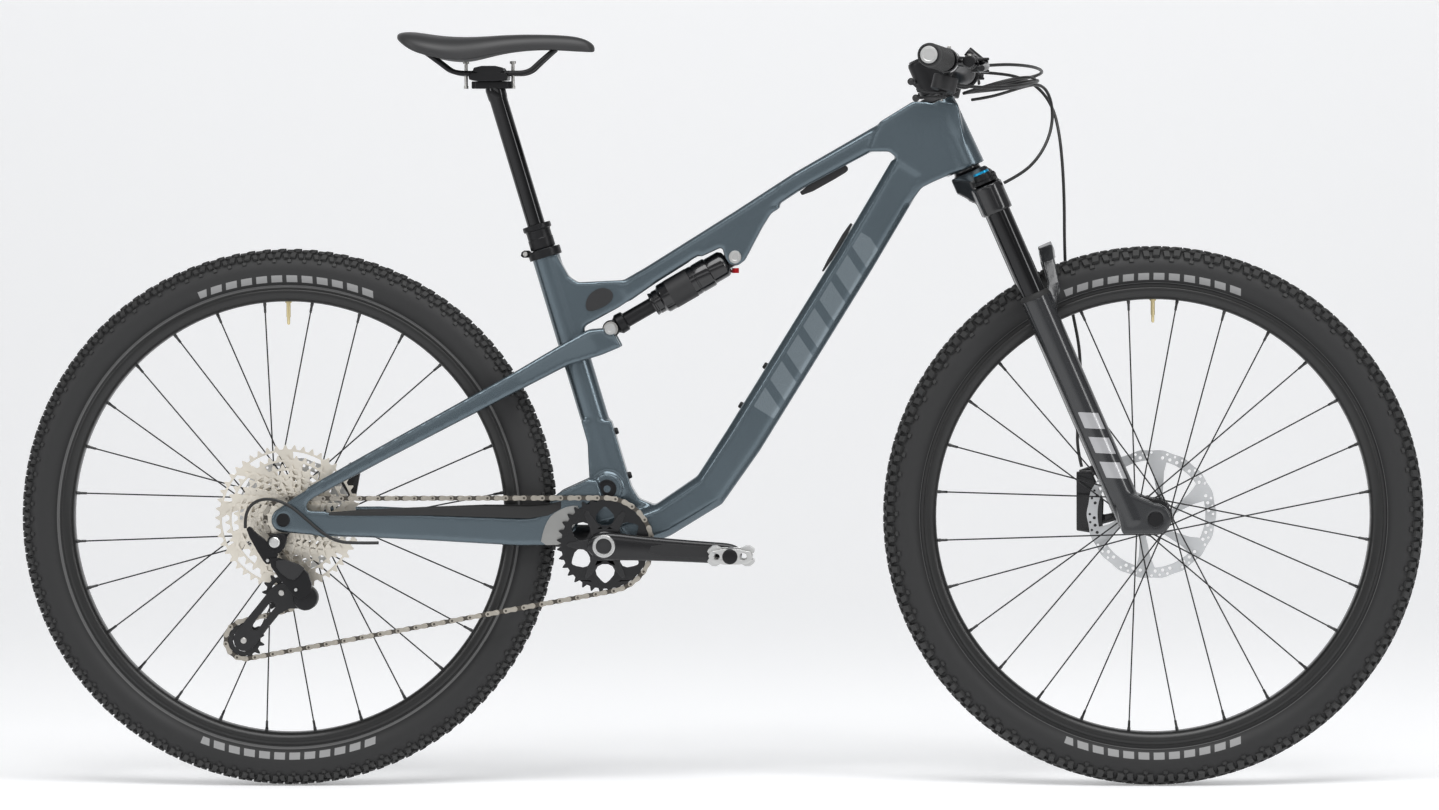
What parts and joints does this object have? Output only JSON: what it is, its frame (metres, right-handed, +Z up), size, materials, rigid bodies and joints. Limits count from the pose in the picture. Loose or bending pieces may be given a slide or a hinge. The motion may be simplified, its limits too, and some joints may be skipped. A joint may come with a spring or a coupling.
{
  "type": "mountain bike",
  "caption": "Full-suspension mountain bike: rear swingarm and shock, telescopic fork, spinning wheels, cranks and pedals, derailleur, sliding seatpost, brake levers and shifter.",
  "frame": {"origin": "on the ground, midway between the wheel axles, in the bike's middle plane", "axes": "+X forwards, +Y to the rider's left, +Z up"},
  "size_m": [1.943, 0.7748, 1.044],
  "materials": {
    "frame_paint": "metallic satin slate blue carbon",
    "dark_metal": "satin black anodised",
    "silver": "brushed",
    "steel": "bare",
    "tyre": "matt",
    "grip_rubber": "matt",
    "rim_carbon": "satin black",
    "black_plastic": "satin",
    "fork_black": "gloss black",
    "casing": "satin",
    "red_anodised": "satin red",
    "saddle_cover": "satin black"
  },
  "bodies": {
    "frame": {"upper_frame": "frame_paint", "down_tube": "frame_paint", "seat_tube": "frame_paint", "bracket_shell": "frame_paint", "frame_bearings": "steel", "frame_bolts": "steel", "headset_cover": "black_plastic", "seat_collar": "dark_metal", "dropper_outer_tube": "dark_metal"},
    "swingarm": {"rear_triangle": "frame_paint", "yoke_bolts": "steel", "rear_axle": "dark_metal", "derailleur_hanger": "dark_metal", "derailleur_body": "dark_metal", "rear_caliper": "dark_metal", "rear_shift_cable": "casing", "chain": "steel"},
    "derailleur_cage_body": {"derailleur_cage": "dark_metal"},
    "guide_pulley_body": {"guide_pulley": "black_plastic"},
    "tension_pulley_body": {"tension_pulley": "black_plastic"},
    "rear_wheel": {"rear_tyre": "tyre", "rear_rim": "rim_carbon", "rear_hub": "dark_metal", "rear_spokes": "steel", "rear_rotor": "steel"},
    "cassette_body": {"cassette": "steel"},
    "shock_body": {"shock_can": "dark_metal"},
    "rebound_knob_body": {"rebound_knob": "red_anodised"},
    "shock_shaft_body": {"shock_shaft": "steel"},
    "crankset": {"crank_right": "dark_metal", "crank_left": "dark_metal", "chainring": "dark_metal"},
    "right_pedal": {"pedal_right": "silver"},
    "left_pedal": {"pedal_left": "silver"},
    "steering": {"fork_upper": "fork_black", "stem": "dark_metal", "handlebar": "dark_metal", "grips": "grip_rubber", "brake_clamps": "dark_metal", "shifter_body": "black_plastic", "remote_body": "black_plastic", "control_cables": "casing", "fork_cable": "casing", "front_brake_hose": "casing"},
    "fork_slider": {"fork_lowers": "fork_black", "front_axle": "dark_metal", "front_caliper": "dark_metal"},
    "front_wheel": {"front_tyre": "tyre", "front_rim": "rim_carbon", "front_hub": "dark_metal", "front_spokes": "steel", "front_rotor": "steel"},
    "right_brake_lever": {"brake_lever_right": "dark_metal"},
    "left_brake_lever": {"brake_lever_left": "dark_metal"},
    "upper_paddle": {"shift_paddle_upper": "black_plastic"},
    "lower_paddle": {"shift_paddle_lower": "black_plastic"},
    "seatpost_lever": {"dropper_lever": "black_plastic"},
    "seatpost": {"dropper_stanchion": "dark_metal", "saddle_rails_and_clamp": "dark_metal", "saddle": "saddle_cover"}
  },
  "joints": [
    {"name": "swingarm_pivot", "type": "hinge", "parent": "frame", "child": "swingarm", "pos_m": [-0.1546, 0, 0.4133], "axis": [0, 1, 0], "range_deg": [0, 14.9], "stiffness_Nm_per_rad": 2700, "deforming": ["chain"]},
    {"name": "shock_pivot", "type": "hinge", "parent": "frame", "child": "shock_body", "pos_m": [0.0222, 0, 0.7324], "axis": [0, 1, 0], "range_deg": [-13.2, 0]},
    {"name": "shock_slide", "type": "slide", "parent": "shock_body", "child": "shock_shaft_body", "axis": [0.8672, 0, 0.498], "range_m": [0, 0.0409]},
    {"name": "rebound_knob_turn", "type": "hinge", "parent": "shock_body", "child": "rebound_knob_body", "pos_m": [0.0222, 0, 0.7124], "axis": [0, 0, 1], "range_deg": [0, 300]},
    {"name": "crank_spin", "type": "hinge", "parent": "frame", "child": "crankset", "pos_m": [-0.1569, 0, 0.337], "axis": [0, 1, 0], "continuous": true},
    {"name": "right_pedal_spin", "type": "hinge", "parent": "crankset", "child": "right_pedal", "pos_m": [0.01775, 0, 0.32601], "axis": [0, 1, 0], "continuous": true},
    {"name": "left_pedal_spin", "type": "hinge", "parent": "crankset", "child": "left_pedal", "pos_m": [-0.33155, 0, 0.34799], "axis": [0, 1, 0], "continuous": true},
    {"name": "rear_wheel_spin", "type": "hinge", "parent": "swingarm", "child": "rear_wheel", "pos_m": [-0.5985, 0, 0.373], "axis": [0, 1, 0], "continuous": true},
    {"name": "cassette_spin", "type": "hinge", "parent": "swingarm", "child": "cassette_body", "pos_m": [-0.5985, 0, 0.373], "axis": [0, 1, 0], "continuous": true},
    {"name": "cage_pivot", "type": "hinge", "parent": "swingarm", "child": "derailleur_cage_body", "pos_m": [-0.568, -0.056, 0.266], "axis": [0, 1, 0], "range_deg": [-35, 8], "stiffness_Nm_per_rad": 2},
    {"name": "guide_pulley_spin", "type": "hinge", "parent": "derailleur_cage_body", "child": "guide_pulley_body", "pos_m": [-0.603, -0.056, 0.272], "axis": [0, 1, 0], "continuous": true},
    {"name": "tension_pulley_spin", "type": "hinge", "parent": "derailleur_cage_body", "child": "tension_pulley_body", "pos_m": [-0.656, -0.056, 0.206], "axis": [0, 1, 0], "continuous": true},
    {"name": "steering_turn", "type": "hinge", "parent": "frame", "child": "steering", "pos_m": [0.34203, 0, 0.8525], "axis": [-0.3987, 0, 0.9171], "range_deg": [-75, 75], "deforming": ["control_cables"]},
    {"name": "fork_slide", "type": "slide", "parent": "steering", "child": "fork_slider", "axis": [-0.3987, 0, 0.9171], "range_m": [0, 0.12], "stiffness_N_per_m": 6000, "deforming": ["front_brake_hose"]},
    {"name": "front_wheel_spin", "type": "hinge", "parent": "fork_slider", "child": "front_wheel", "pos_m": [0.5985, 0, 0.373], "axis": [0, 1, 0], "continuous": true},
    {"name": "seatpost_slide", "type": "slide", "parent": "frame", "child": "seatpost", "axis": [0.2857, 0, -0.9583], "range_m": [0, 0.15]},
    {"name": "right_brake_lever_pull", "type": "hinge", "parent": "steering", "child": "right_brake_lever", "pos_m": [0.36294, -0.214, 0.99046], "axis": [0, 0, 1], "range_deg": [-18, 0], "stiffness_Nm_per_rad": 1},
    {"name": "left_brake_lever_pull", "type": "hinge", "parent": "steering", "child": "left_brake_lever", "pos_m": [0.36294, 0.214, 0.99046], "axis": [0, 0, 1], "range_deg": [0, 18], "stiffness_Nm_per_rad": 1},
    {"name": "upper_paddle_push", "type": "hinge", "parent": "steering", "child": "upper_paddle", "pos_m": [0.31007, -0.2, 0.96617], "axis": [0.2507, 0.1003, 0.9628], "range_deg": [0, 14], "stiffness_Nm_per_rad": 0.3},
    {"name": "lower_paddle_push", "type": "hinge", "parent": "steering", "child": "lower_paddle", "pos_m": [0.31007, -0.2, 0.96617], "axis": [0.2507, 0.1003, 0.9628], "range_deg": [0, 25], "stiffness_Nm_per_rad": 0.3},
    {"name": "seatpost_lever_push", "type": "hinge", "parent": "steering", "child": "seatpost_lever", "pos_m": [0.32207, 0.2, 0.96617], "axis": [0.2507, 0.1003, 0.9628], "range_deg": [-20, 0], "stiffness_Nm_per_rad": 0.3}
  ],
  "couplings": [
    {"joint": "shock_pivot", "follows": "swingarm_pivot", "ratio": -0.8734},
    {"joint": "shock_slide", "follows": "swingarm_pivot", "m_per_rad": 0.1562},
    {"joint": "cassette_spin", "follows": "crank_spin", "ratio": 2.2857},
    {"joint": "guide_pulley_spin", "follows": "crank_spin", "ratio": -2.4615},
    {"joint": "tension_pulley_spin", "follows": "crank_spin", "ratio": 2.4615}
  ]
}
